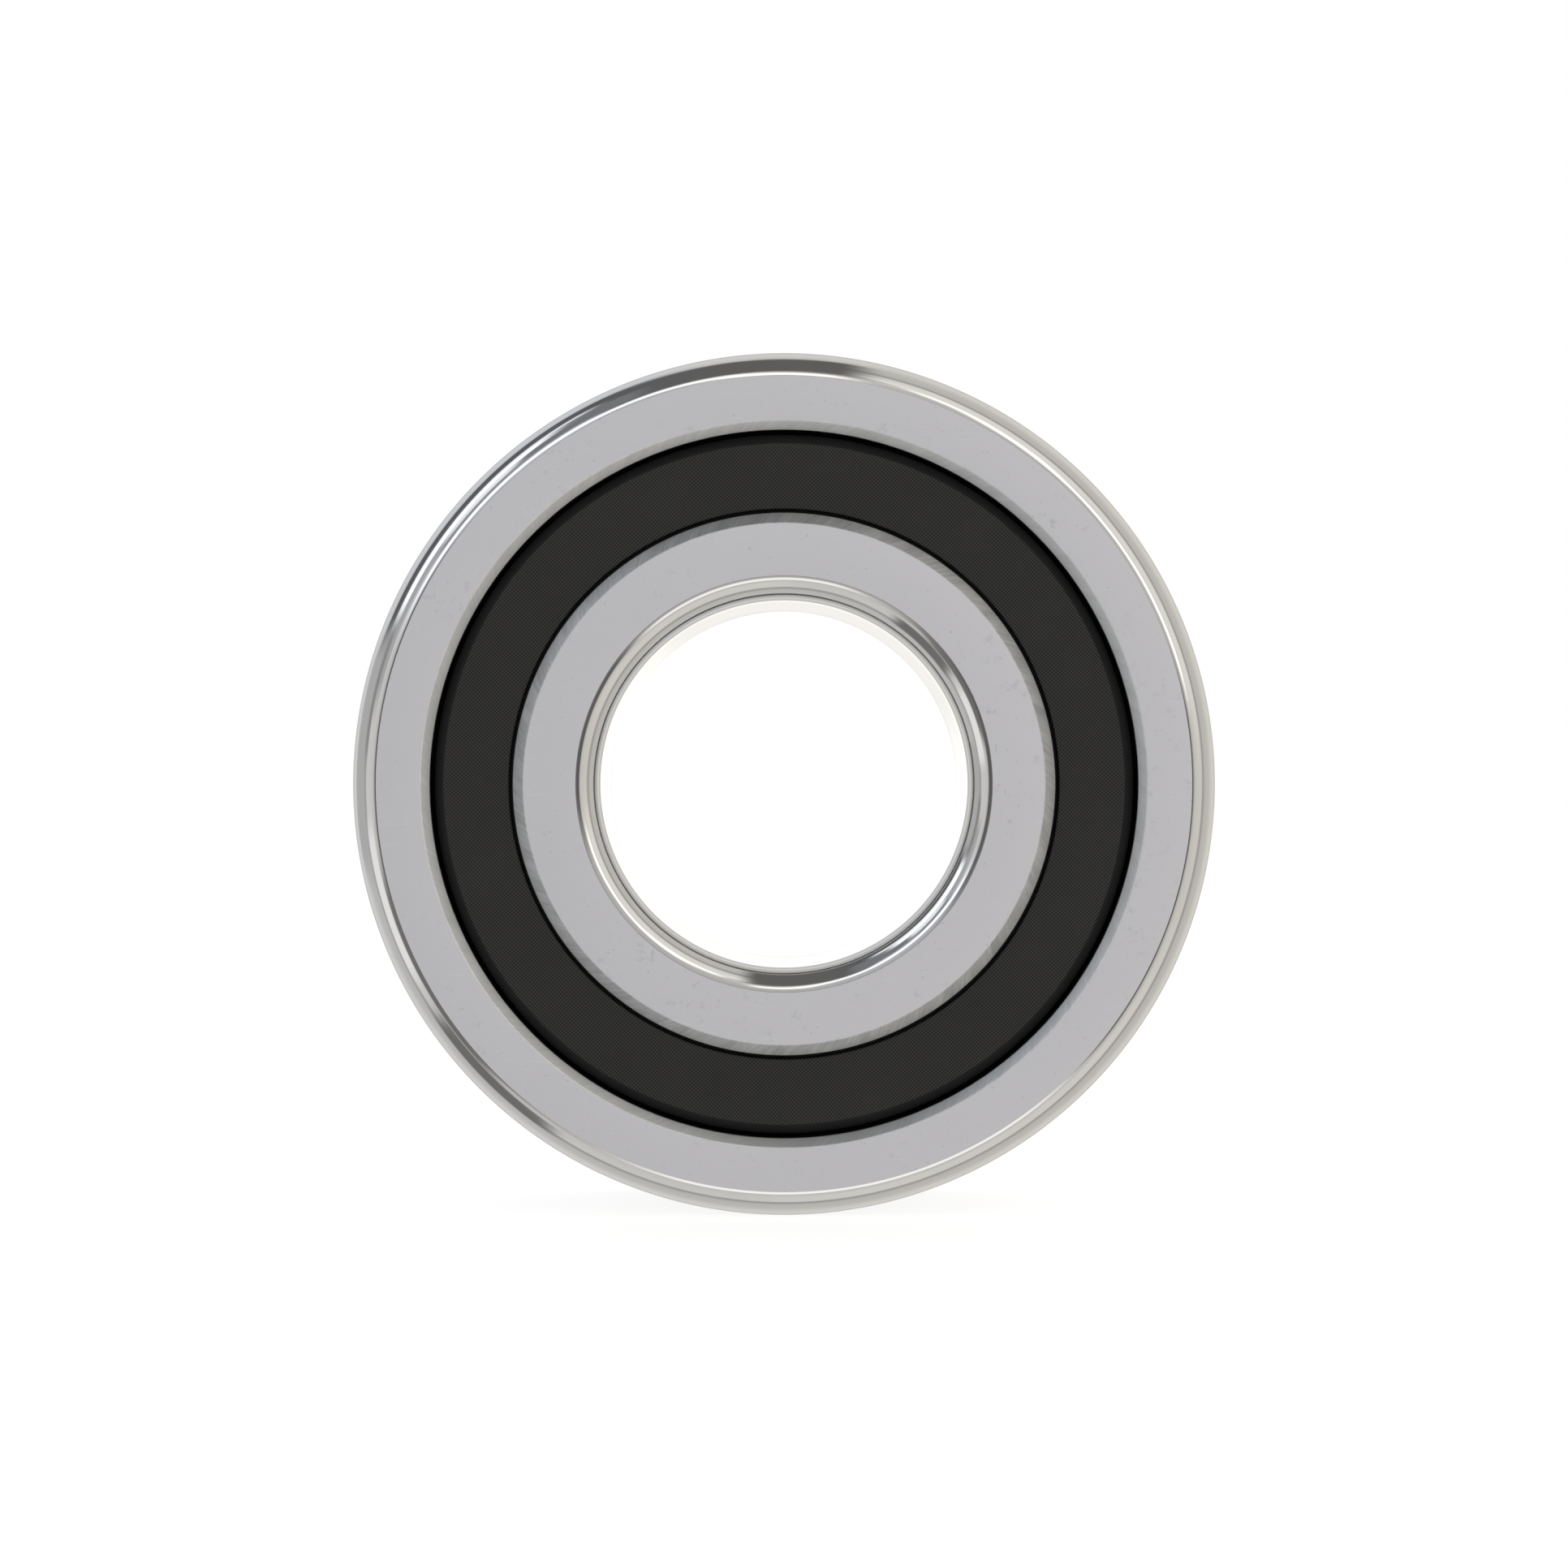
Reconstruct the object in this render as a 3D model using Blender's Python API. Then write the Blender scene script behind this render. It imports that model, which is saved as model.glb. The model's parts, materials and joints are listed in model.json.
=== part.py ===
"""Sealed deep-groove ball bearing, 20 mm bore, 47 mm outside and 14 mm wide.

Units are metres. The bearing's axis is Y, its centre is the origin and its front face looks along -Y.
Every turned piece is a closed section of (radius, across) points spun once round the axis, where across is the
distance from the middle plane. The bore, the outside and the ball place the raceways. The rings are as wide as
the ball, the cage and the two seals need, stacked outwards from the middle plane.
"""

import math

import bmesh
import bpy
from mathutils import Matrix, Vector

# Boundary sizes
BORE_DIAMETER = 0.020
OUTSIDE_DIAMETER = 0.047
BORE_CORNER_RADIUS = 0.0013
OUTSIDE_CORNER_RADIUS = 0.0014

# Balls and raceways
BALL_DIAMETER = 0.0079375
BALL_COUNT = 8
RACEWAY_CLEARANCE = 0.00012
INNER_CONFORMITY = 0.515  # groove radius over ball diameter
OUTER_CONFORMITY = 0.525
INNER_SHOULDER_HEIGHT = 0.00208  # land above the bottom of the groove
OUTER_SHOULDER_HEIGHT = 0.00204

# Ribbon cage and its rivets
CAGE_SHEET = 0.00075
CAGE_SPLIT_GAP = 0.00020
POCKET_CLEARANCE = 0.00025
CAGE_TO_RING_GAP = 0.00035
RIVET_EDGE = 0.00045
RIVET_HEAD_TO_SHANK = 1.8
RIVET_HEAD_HEIGHT = 0.00055
RIVET_FIT_GAP = 0.00010

# Seals: a steel washer with rubber moulded over its outside
SEAL_RECESS = 0.00045
SEAL_FACE_RUBBER = 0.00045
SEAL_INSERT_SHEET = 0.00050
SEAL_INSERT_FLANGE = 0.00085
SEAL_BOND_GAP = 0.00010
SEAL_TO_CAGE_GAP = 0.00053125  # free space for grease
SEAL_FIT_GAP = 0.00010
SEAL_RIM_GAP = 0.00022
SEAL_RIM_CONE = 0.00050
SEAL_INNER_GAP = 0.00020
SEAL_HEEL = 0.00045
SEAL_LIP_REACH = 0.00058
SEAL_LIP_ROOT = 0.00034
SEAL_LIP_TIP = 0.00014
SEAL_EDGE_CHAMFER = 0.00010

# Seats for the seals, cut in the rings
OUTER_SEAT_STEP = 0.00042  # mouth of the seat beyond the raceway land
SEAL_GROOVE_DEPTH = 0.00078
SEAL_GROOVE_WIDTH = 0.00095
RETAINING_LIP = 0.00050
LIP_GROOVE_DEPTH = 0.00072
LIP_GROOVE_SIDE_GAP = 0.00020
LIP_GROOVE_TAPER = 0.00018
OUTER_FACE_BEVEL = 0.00047
INNER_FACE_BEVEL = 0.00058
FACE_BEVEL_ACROSS = 0.00045

# Facets
RING_SEGMENTS = 48
CORNER_STEPS = 3
RACEWAY_STEPS = 4
BALL_SUBDIVISIONS = 3
POCKET_STEPS = 10
RIBBON_STRIPS = 3
RIVET_SEGMENTS = 8
SHARP_ANGLE = math.radians(28)
MERGE_DISTANCE = 1e-7

# Sizes that follow
BORE_RADIUS = BORE_DIAMETER / 2
OUTSIDE_RADIUS = OUTSIDE_DIAMETER / 2
BALL_RADIUS = BALL_DIAMETER / 2
PITCH_RADIUS = (BORE_RADIUS + OUTSIDE_RADIUS) / 2
BALL_PITCH_ANGLE = math.tau / BALL_COUNT
INNER_RACEWAY = PITCH_RADIUS - BALL_RADIUS - RACEWAY_CLEARANCE
OUTER_RACEWAY = PITCH_RADIUS + BALL_RADIUS + RACEWAY_CLEARANCE
INNER_LAND = INNER_RACEWAY + INNER_SHOULDER_HEIGHT
OUTER_LAND = OUTER_RACEWAY - OUTER_SHOULDER_HEIGHT

CAGE_HALF_HEIGHT = BALL_RADIUS + POCKET_CLEARANCE + CAGE_SHEET
INSERT_BACK = CAGE_HALF_HEIGHT + SEAL_TO_CAGE_GAP
INSERT_FRONT = INSERT_BACK + SEAL_INSERT_SHEET
RUBBER_BACK = INSERT_FRONT + SEAL_BOND_GAP
RUBBER_FACE = RUBBER_BACK + SEAL_FACE_RUBBER
HALF_WIDTH = RUBBER_FACE + SEAL_RECESS

SEAT_MOUTH = OUTER_LAND + OUTER_SEAT_STEP
SEAL_GROOVE_RADIUS = SEAT_MOUTH + SEAL_GROOVE_DEPTH
SEAL_GROOVE_OUTER = HALF_WIDTH - FACE_BEVEL_ACROSS - RETAINING_LIP
SEAL_GROOVE_INNER = SEAL_GROOVE_OUTER - SEAL_GROOVE_WIDTH
SEAL_RIM_RADIUS = SEAT_MOUTH - SEAL_RIM_GAP
SEAL_BORE_RADIUS = INNER_LAND + SEAL_INNER_GAP
INSERT_BORE_RADIUS = SEAL_BORE_RADIUS + SEAL_HEEL + SEAL_BOND_GAP
INSERT_RIM_RADIUS = SEAL_RIM_RADIUS - SEAL_RIM_CONE - SEAL_BOND_GAP
LIP_ACROSS = (INSERT_BACK + INSERT_FRONT) / 2

RIBBON_HALF_WIDTH = min(PITCH_RADIUS - INNER_LAND, OUTER_LAND - PITCH_RADIUS) - CAGE_TO_RING_GAP
WEB_BACK = CAGE_SPLIT_GAP / 2
WEB_FRONT = WEB_BACK + CAGE_SHEET


def arc(centre, radius, start, end, steps):
    """Points from angle start to angle end round a centre, measured from the outward direction."""
    angles = [start + (end - start) * i / steps for i in range(steps + 1)]
    return [(centre[0] + radius * math.cos(t), centre[1] + radius * math.sin(t)) for t in angles]


def both_sides(half):
    """A closed section from its half on one side of the middle plane, whose first point lies on that plane."""
    mirrored = [(radius, -across) for radius, across in reversed(half[1:])]
    return half + mirrored


def outer_ring_section():
    groove = OUTER_CONFORMITY * BALL_DIAMETER
    centre = OUTER_RACEWAY - groove
    edge = math.acos((OUTER_LAND - centre) / groove)
    corner = (OUTSIDE_RADIUS - OUTSIDE_CORNER_RADIUS, HALF_WIDTH - OUTSIDE_CORNER_RADIUS)
    return both_sides(
        arc((centre, 0), groove, 0, edge, RACEWAY_STEPS)
        + [
            (OUTER_LAND, SEAL_GROOVE_INNER),
            (SEAL_GROOVE_RADIUS, SEAL_GROOVE_INNER),
            (SEAL_GROOVE_RADIUS, SEAL_GROOVE_OUTER),
            (SEAT_MOUTH, SEAL_GROOVE_OUTER),
            (SEAT_MOUTH, HALF_WIDTH - FACE_BEVEL_ACROSS),
            (SEAT_MOUTH + OUTER_FACE_BEVEL, HALF_WIDTH),
        ]
        + arc(corner, OUTSIDE_CORNER_RADIUS, math.pi / 2, 0, CORNER_STEPS)
    )


def inner_ring_section():
    groove = INNER_CONFORMITY * BALL_DIAMETER
    centre = INNER_RACEWAY + groove
    edge = math.acos((centre - INNER_LAND) / groove)
    corner = (BORE_RADIUS + BORE_CORNER_RADIUS, HALF_WIDTH - BORE_CORNER_RADIUS)
    half_groove = SEAL_LIP_ROOT / 2 + LIP_GROOVE_SIDE_GAP
    floor = INNER_LAND - LIP_GROOVE_DEPTH
    return both_sides(
        arc((centre, 0), groove, math.pi, math.pi - edge, RACEWAY_STEPS)
        + [
            (INNER_LAND, LIP_ACROSS - half_groove),
            (floor, LIP_ACROSS - half_groove + LIP_GROOVE_TAPER),
            (floor, LIP_ACROSS + half_groove - LIP_GROOVE_TAPER),
            (INNER_LAND, LIP_ACROSS + half_groove),
            (INNER_LAND, HALF_WIDTH - FACE_BEVEL_ACROSS),
            (INNER_LAND - INNER_FACE_BEVEL, HALF_WIDTH),
        ]
        + arc(corner, BORE_CORNER_RADIUS, math.pi / 2, math.pi, CORNER_STEPS)
    )


def seal_rubber_section():
    """Face, rim cone and bead on the outside, the washer's recess behind, and the heel with its lip inside."""
    chamfer = SEAL_EDGE_CHAMFER
    bead = SEAL_GROOVE_RADIUS - SEAL_FIT_GAP
    bead_front = SEAL_GROOVE_OUTER - SEAL_FIT_GAP
    bead_back = SEAL_GROOVE_INNER + SEAL_FIT_GAP
    washer_rim = INSERT_RIM_RADIUS + SEAL_BOND_GAP
    heel = INSERT_BORE_RADIUS - SEAL_BOND_GAP
    lip = SEAL_BORE_RADIUS - SEAL_LIP_REACH - SEAL_INNER_GAP
    return [
        (SEAL_BORE_RADIUS + chamfer, RUBBER_FACE),
        (SEAL_RIM_RADIUS - SEAL_RIM_CONE, RUBBER_FACE),
        (SEAL_RIM_RADIUS, RUBBER_FACE - SEAL_RIM_CONE),
        (SEAL_RIM_RADIUS, bead_front),
        (bead, bead_front),
        (bead, bead_back),
        (washer_rim, bead_back),
        (washer_rim, RUBBER_BACK),
        (heel, RUBBER_BACK),
        (heel, INSERT_BACK),
        (SEAL_BORE_RADIUS, LIP_ACROSS - SEAL_LIP_ROOT / 2),
        (lip, LIP_ACROSS - SEAL_LIP_TIP / 2),
        (lip, LIP_ACROSS + SEAL_LIP_TIP / 2),
        (SEAL_BORE_RADIUS, LIP_ACROSS + SEAL_LIP_ROOT / 2),
        (SEAL_BORE_RADIUS, RUBBER_FACE - chamfer),
    ]


def seal_insert_section():
    """A flat washer whose rim is pressed into a short flange towards the balls."""
    flange_back = INSERT_FRONT - SEAL_INSERT_FLANGE
    flange_bore = INSERT_RIM_RADIUS - SEAL_INSERT_SHEET
    return [
        (INSERT_BORE_RADIUS, INSERT_FRONT),
        (INSERT_RIM_RADIUS, INSERT_FRONT),
        (INSERT_RIM_RADIUS, flange_back),
        (flange_bore, flange_back),
        (flange_bore, INSERT_BACK),
        (INSERT_BORE_RADIUS, INSERT_BACK),
    ]


def clear_scene():
    for old in list(bpy.data.objects):
        bpy.data.objects.remove(old)


def material(name, colour, roughness, metallic):
    made = bpy.data.materials.new(name)
    made.use_nodes = True
    shader = made.node_tree.nodes["Principled BSDF"]
    shader.inputs["Base Color"].default_value = (*colour, 1)
    shader.inputs["Roughness"].default_value = roughness
    shader.inputs["Metallic"].default_value = metallic
    return made


def body(name, parent):
    """An empty on a joint's axis, which carries the pieces that move together."""
    empty = bpy.data.objects.new(name, None)
    empty.empty_display_size = BORE_RADIUS
    empty.parent = parent
    bpy.context.scene.collection.objects.link(empty)
    return empty


def add(name, mesh, parent, finish, place=(0, 0, 0)):
    piece = bpy.data.objects.new(name, mesh)
    piece.parent = parent
    piece.location = place
    if not mesh.materials:
        mesh.materials.append(finish)
    bpy.context.scene.collection.objects.link(piece)
    return piece


def closed_mesh(name, bm):
    """The finished mesh, with its faces turned outwards and its round surfaces shaded smooth."""
    bmesh.ops.recalc_face_normals(bm, faces=bm.faces[:])
    mesh = bpy.data.meshes.new(name)
    bm.to_mesh(mesh)
    bm.free()
    mesh.shade_smooth()
    mesh.set_sharp_from_angle(angle=SHARP_ANGLE)
    return mesh


def spun(name, section, segments, side=1, closed=True):
    """A section of (radius, across) points spun round the Y axis. Side -1 mirrors it to the front.

    A closed section makes a ring. An open one starts and ends on the axis and makes a solid piece.
    """
    bm = bmesh.new()
    corners = [bm.verts.new((radius, side * across, 0)) for radius, across in section]
    following = corners[1:] + corners[:1] if closed else corners[1:]
    edges = [bm.edges.new(pair) for pair in zip(corners, following)]
    bmesh.ops.spin(
        bm,
        geom=corners + edges,
        cent=(0, 0, 0),
        axis=(0, 1, 0),
        angle=math.tau,
        steps=segments,
        use_merge=True,
    )
    bmesh.ops.remove_doubles(bm, verts=bm.verts[:], dist=MERGE_DISTANCE)
    return closed_mesh(name, bm)


def ball_mesh():
    bm = bmesh.new()
    bmesh.ops.create_icosphere(bm, subdivisions=BALL_SUBDIVISIONS, radius=BALL_RADIUS)
    return closed_mesh("ball", bm)


def pocket_station(radius, sphere, web, turn):
    """A point of the ribbon at one radius: where a sphere round the ball meets that radius.

    Turn runs from -1 to 1 between the two places where the sphere comes down to the web.
    Returns (angle from the ball, across).
    """
    height = math.sqrt(sphere**2 - (radius - PITCH_RADIUS) ** 2)
    swing = turn * math.acos(web / height)
    half_chord = height * math.sin(swing) / (2 * math.sqrt(radius * PITCH_RADIUS))
    return 2 * math.asin(half_chord), height * math.cos(swing)


def cage_half_mesh(name, side):
    """A pressed ribbon: a spherical pocket over each ball, and a flat web between each two."""
    bm = bmesh.new()
    inside = BALL_RADIUS + POCKET_CLEARANCE
    layers = ((inside, WEB_BACK), (inside + CAGE_SHEET, WEB_FRONT))
    turns = [-1 + 2 * i / POCKET_STEPS for i in range(POCKET_STEPS + 1)]
    rows = []
    for sphere, web in layers:
        for strip in range(RIBBON_STRIPS + 1):
            share = -1 + 2 * strip / RIBBON_STRIPS
            radius = PITCH_RADIUS + share * RIBBON_HALF_WIDTH
            row = []
            for ball in range(BALL_COUNT):
                for turn in turns:
                    angle, across = pocket_station(radius, sphere, web, turn)
                    angle += ball * BALL_PITCH_ANGLE
                    place = (radius * math.sin(angle), side * across, radius * math.cos(angle))
                    row.append(bm.verts.new(place))
            rows.append(row)
    # Up the back layer, then down the front one, closes the ribbon's section.
    back, front = rows[: RIBBON_STRIPS + 1], rows[RIBBON_STRIPS + 1 :]
    around = back + front[::-1]
    for row, following in zip(around, around[1:] + around[:1]):
        for i in range(len(row)):
            j = (i + 1) % len(row)
            bm.faces.new((row[i], row[j], following[j], following[i]))
    return closed_mesh(name, bm)


def rivet_sizes():
    """Head and shank diameters. The head fits the web between two pockets, and the ribbon's width."""
    bend, _ = pocket_station(PITCH_RADIUS, CAGE_HALF_HEIGHT, WEB_FRONT, 1)
    web_length = 2 * PITCH_RADIUS * math.sin(BALL_PITCH_ANGLE / 2 - bend)
    head = min(web_length, 2 * RIBBON_HALF_WIDTH) - 2 * RIVET_EDGE
    return head, head / RIVET_HEAD_TO_SHANK


def rivet_mesh(head, shank):
    """A shank through both webs, with a domed head on each side of them."""
    seat = WEB_FRONT + RIVET_FIT_GAP
    top = seat + RIVET_HEAD_HEIGHT
    crown = (head / 3, top - RIVET_HEAD_HEIGHT / 5)
    rear = [(shank / 2, seat), (head / 2, seat), (head / 2, seat + RIVET_HEAD_HEIGHT / 3), crown, (0, top)]
    front = [(radius, -across) for radius, across in reversed(rear)]
    return spun("rivet", front + rear, RIVET_SEGMENTS, closed=False)


def around_pitch_circle(index, offset=0.0):
    """The place of one ball, or with an offset of half a pitch that of one rivet, counted from the top."""
    angle = (index + offset) * BALL_PITCH_ANGLE
    return Vector((PITCH_RADIUS * math.sin(angle), 0, PITCH_RADIUS * math.cos(angle)))


def rivet_hole_cutter(diameter):
    """Eight pins across the webs. It cuts both halves of the cage and isn't a piece itself."""
    bm = bmesh.new()
    for index in range(BALL_COUNT):
        upright = Matrix.Rotation(math.pi / 2, 4, "X")
        bmesh.ops.create_cone(
            bm,
            cap_ends=True,
            segments=RIVET_SEGMENTS,
            radius1=diameter / 2,
            radius2=diameter / 2,
            depth=4 * WEB_FRONT,
            matrix=Matrix.Translation(around_pitch_circle(index, 0.5)) @ upright,
        )
    cutter = bpy.data.objects.new("rivet_hole_cutter", closed_mesh("rivet_hole_cutter", bm))
    cutter.hide_render = True
    cutter.display_type = "WIRE"
    bpy.context.scene.collection.objects.link(cutter)
    return cutter


def cut(piece, cutter):
    hole = piece.modifiers.new("rivet_holes", "BOOLEAN")
    hole.operation = "DIFFERENCE"
    hole.solver = "EXACT"
    hole.object = cutter


def build():
    clear_scene()
    outer_steel = material("outer_ring_steel", (0.50, 0.50, 0.51), 0.32, 1.0)
    inner_steel = material("inner_ring_steel", (0.50, 0.50, 0.51), 0.32, 1.0)
    ball_steel = material("ball_steel", (0.72, 0.72, 0.73), 0.06, 1.0)
    cage_steel = material("cage_steel", (0.56, 0.55, 0.53), 0.38, 1.0)
    insert_steel = material("insert_steel", (0.48, 0.48, 0.49), 0.42, 1.0)
    seal_rubber = material("seal_rubber", (0.030, 0.030, 0.028), 0.62, 0.0)

    fixed = body("outer_ring_body", None)
    turning = body("inner_ring_body", fixed)
    cage = body("cage_body", fixed)

    add("outer_ring", spun("outer_ring", outer_ring_section(), RING_SEGMENTS), fixed, outer_steel)
    add("inner_ring", spun("inner_ring", inner_ring_section(), RING_SEGMENTS), turning, inner_steel)

    for where, side in (("front", -1), ("rear", 1)):
        rubber, insert = f"seal_rubber_{where}", f"seal_insert_{where}"
        add(rubber, spun(rubber, seal_rubber_section(), RING_SEGMENTS, side), fixed, seal_rubber)
        add(insert, spun(insert, seal_insert_section(), RING_SEGMENTS, side), fixed, insert_steel)

    head, shank = rivet_sizes()
    cutter = rivet_hole_cutter(shank + 2 * RIVET_FIT_GAP)
    for where, side in (("front", -1), ("rear", 1)):
        half = f"cage_half_{where}"
        cut(add(half, cage_half_mesh(half, side), cage, cage_steel), cutter)

    ball, rivet = ball_mesh(), rivet_mesh(head, shank)
    for index in range(BALL_COUNT):
        add(f"ball_{index + 1}", ball, cage, ball_steel, around_pitch_circle(index))
        add(f"cage_rivet_{index + 1}", rivet, cage, cage_steel, around_pitch_circle(index, 0.5))


build()
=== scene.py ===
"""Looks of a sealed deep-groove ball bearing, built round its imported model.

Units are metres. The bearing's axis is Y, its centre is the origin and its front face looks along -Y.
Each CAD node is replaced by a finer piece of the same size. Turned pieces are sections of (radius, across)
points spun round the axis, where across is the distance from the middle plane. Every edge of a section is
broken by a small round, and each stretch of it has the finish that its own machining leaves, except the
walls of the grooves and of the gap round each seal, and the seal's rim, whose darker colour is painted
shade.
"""

import json
import math
from typing import NamedTuple

import bmesh
import bpy
from mathutils import Matrix, Vector


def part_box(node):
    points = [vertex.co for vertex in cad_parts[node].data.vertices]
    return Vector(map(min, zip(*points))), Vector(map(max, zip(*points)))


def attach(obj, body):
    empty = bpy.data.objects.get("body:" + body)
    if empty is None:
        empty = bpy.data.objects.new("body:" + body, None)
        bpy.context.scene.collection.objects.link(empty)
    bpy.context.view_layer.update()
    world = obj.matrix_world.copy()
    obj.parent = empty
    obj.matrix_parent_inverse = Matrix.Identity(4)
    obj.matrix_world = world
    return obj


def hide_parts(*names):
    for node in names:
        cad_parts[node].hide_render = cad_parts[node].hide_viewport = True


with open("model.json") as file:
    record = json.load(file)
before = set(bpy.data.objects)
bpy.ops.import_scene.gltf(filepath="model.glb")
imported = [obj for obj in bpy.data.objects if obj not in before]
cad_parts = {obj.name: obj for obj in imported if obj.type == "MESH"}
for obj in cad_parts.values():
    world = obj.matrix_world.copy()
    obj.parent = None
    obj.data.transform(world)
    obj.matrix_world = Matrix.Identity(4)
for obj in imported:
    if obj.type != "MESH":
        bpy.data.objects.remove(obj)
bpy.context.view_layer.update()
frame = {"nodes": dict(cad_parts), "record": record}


def reach(node):
    """(least, greatest) distance of a CAD node's points from the bearing's axis."""
    distances = [math.hypot(v.co.x, v.co.z) for v in frame["nodes"][node].data.vertices]
    return min(distances), max(distances)


def depth(node):
    """(least, greatest) distance of a rear CAD node's points from the middle plane."""
    low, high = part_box(node)
    return low.y, high.y


# Sizes read from the frame
BORE, INNER_LAND = reach("inner_ring")
OUTER_LAND, OUTSIDE = reach("outer_ring")
HALF_WIDTH = depth("outer_ring")[1]
BALL_LOW, BALL_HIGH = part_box("ball_1")
BALL_RADIUS = (BALL_HIGH.z - BALL_LOW.z) / 2
BALL_COUNT = sum(node.startswith("ball_") for node in frame["nodes"])
PITCH_RADIUS = (BALL_HIGH.z + BALL_LOW.z) / 2
LIP_RADIUS, BEAD_RADIUS = reach("seal_rubber_rear")
BEAD_BACK, RUBBER_FACE = depth("seal_rubber_rear")
INSERT_BORE, INSERT_RIM = reach("seal_insert_rear")
FLANGE_BACK, INSERT_FRONT = depth("seal_insert_rear")
RIBBON_HALF_WIDTH = PITCH_RADIUS - reach("cage_half_rear")[0]
WEB_BACK, POCKET_TOP = depth("cage_half_rear")
RIVET_TOP = depth("cage_rivet_1")[1]
RIVET_HEAD_RADIUS = (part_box("cage_rivet_1")[1].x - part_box("cage_rivet_1")[0].x) / 2

# Smaller sizes of the part, which the frame doesn't name
BORE_CORNER_RADIUS = 0.0013
OUTSIDE_CORNER_RADIUS = 0.0014
RACEWAY_CLEARANCE = 0.00012
INNER_GROOVE = 0.515 * 2 * BALL_RADIUS
OUTER_GROOVE = 0.525 * 2 * BALL_RADIUS
CAGE_SHEET = 0.00075
RIVET_HEAD_TO_SHANK = 1.8
RIVET_FIT_GAP = 0.00010
INSERT_SHEET = 0.00050
BOND_GAP = 0.00010
SEAL_GROOVE_WIDTH = 0.00095
SEAL_FIT_GAP = 0.00010
SEAL_RIM_GAP = 0.00022
SEAL_RIM_CONE = 0.00050
SEAL_INNER_GAP = 0.00020
SEAL_LIP_ROOT = 0.00034
SEAL_LIP_TIP = 0.00014
# The neck's walls are near-black rubber, painted shade that deepens the dark line round the seal.
NECK_WIDTH = 0.00045  # the bead's thinner root, seen as the dark line round the seal
NECK_DEPTH = 0.00055
KNURL_PITCH = 0.00021  # of the hatching on the rubber
OUTER_SEAT_STEP = 0.00042
LIP_GROOVE_DEPTH = 0.00072
LIP_GROOVE_SIDE_GAP = 0.00020
LIP_GROOVE_TAPER = 0.00018
OUTER_FACE_BEVEL = 0.00047
INNER_FACE_BEVEL = 0.00058
FACE_BEVEL_ACROSS = 0.00045

# Sizes that follow
SEAT_MOUTH = OUTER_LAND + OUTER_SEAT_STEP
SEAL_GROOVE_RADIUS = BEAD_RADIUS + SEAL_FIT_GAP
SEAL_GROOVE_INNER = BEAD_BACK - SEAL_FIT_GAP
SEAL_GROOVE_OUTER = SEAL_GROOVE_INNER + SEAL_GROOVE_WIDTH
SEAL_RIM_RADIUS = SEAT_MOUTH - SEAL_RIM_GAP
SEAL_BORE_RADIUS = INNER_LAND + SEAL_INNER_GAP
INSERT_BACK = INSERT_FRONT - INSERT_SHEET
RUBBER_BACK = INSERT_FRONT + BOND_GAP
LIP_ACROSS = (INSERT_BACK + INSERT_FRONT) / 2
BALL_PITCH_ANGLE = math.tau / BALL_COUNT

# Fineness of the meshes
RING_SEGMENTS = 256
RACEWAY_STEPS = 24
BALL_SUBDIVISIONS = 5
POCKET_STEPS = 36
RIBBON_STRIP = 0.0004
RIVET_SEGMENTS = 40
DOME_STEPS = 10
SMALL_ROUND = 0.00006
MOULDED_ROUND = 0.00010
SEAT_ROUND = 0.00012  # where a bevel meets the seal's side
OUTER_FACE_ROUND = 0.00014  # where a bevel meets the side face
INNER_FACE_ROUND = 0.00010
ON_AXIS = 0.0000006  # radii below this lie on the axis
ROUND_PIECE = 0.00015  # length of one straight piece of an arc
LEAST_ROUND_STEPS = 4
SHARP_ANGLE = math.radians(35)


# --------------------------------------------------------------------------------------------------
# Sections and meshes


class Corner(NamedTuple):
    """A corner of a section: its place, the finish of the stretch after it, and its rounding."""

    radius: float
    across: float
    finish: str
    rounding: float = SMALL_ROUND
    round_finish: str = ""

    @property
    def place(self):
        return Vector((self.radius, self.across))


class Section(NamedTuple):
    points: list
    finishes: list


def arc(centre, radius, start, end, steps):
    """Points from angle start to angle end round a centre, measured from the outward direction."""
    angles = [start + (end - start) * i / steps for i in range(steps + 1)]
    return [centre + radius * Vector((math.cos(t), math.sin(t))) for t in angles]


def broken_corner(before, corner, after):
    """The arc that replaces a corner."""
    back = (before.place - corner.place).normalized()
    onward = (after.place - corner.place).normalized()
    half_angle = back.angle(onward) / 2
    length = corner.rounding / math.tan(half_angle)
    centre = corner.place + (back + onward).normalized() * corner.rounding / math.sin(half_angle)
    first = corner.place + back * length - centre
    last = corner.place + onward * length - centre
    start = math.atan2(first.y, first.x)
    turn = math.remainder(math.atan2(last.y, last.x) - start, math.tau)
    steps = max(LEAST_ROUND_STEPS, round(abs(turn) * corner.rounding / ROUND_PIECE))
    return arc(centre, corner.rounding, start, start + turn, steps)


def softened(corners, closed=True):
    """The section that these corners make, with an arc in place of each. An open one keeps its two ends."""
    points, finishes = [], []
    last = len(corners) - 1
    for index, corner in enumerate(corners):
        is_end = not closed and index in (0, last)
        if is_end or not corner.rounding:
            points.append(corner.place)
            finishes.append(corner.finish)
            continue
        bend = broken_corner(corners[index - 1], corner, corners[(index + 1) % len(corners)])
        points += bend
        finishes += [corner.round_finish or corner.finish] * (len(bend) - 1) + [corner.finish]
    return Section(points, finishes)


def both_sides(corners):
    """A closed section from its half on one side of the middle plane, with its two ends on that plane."""
    half = softened(corners, closed=False)
    mirrored = [Vector((point.x, -point.y)) for point in reversed(half.points[1:-1])]
    return Section(half.points + mirrored, half.finishes[:-1] + half.finishes[-2::-1])


def on_side(section, side):
    """The same section on the rear (1) or on the front (-1) of the bearing."""
    return Section([Vector((point.x, side * point.y)) for point in section.points], section.finishes)


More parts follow.
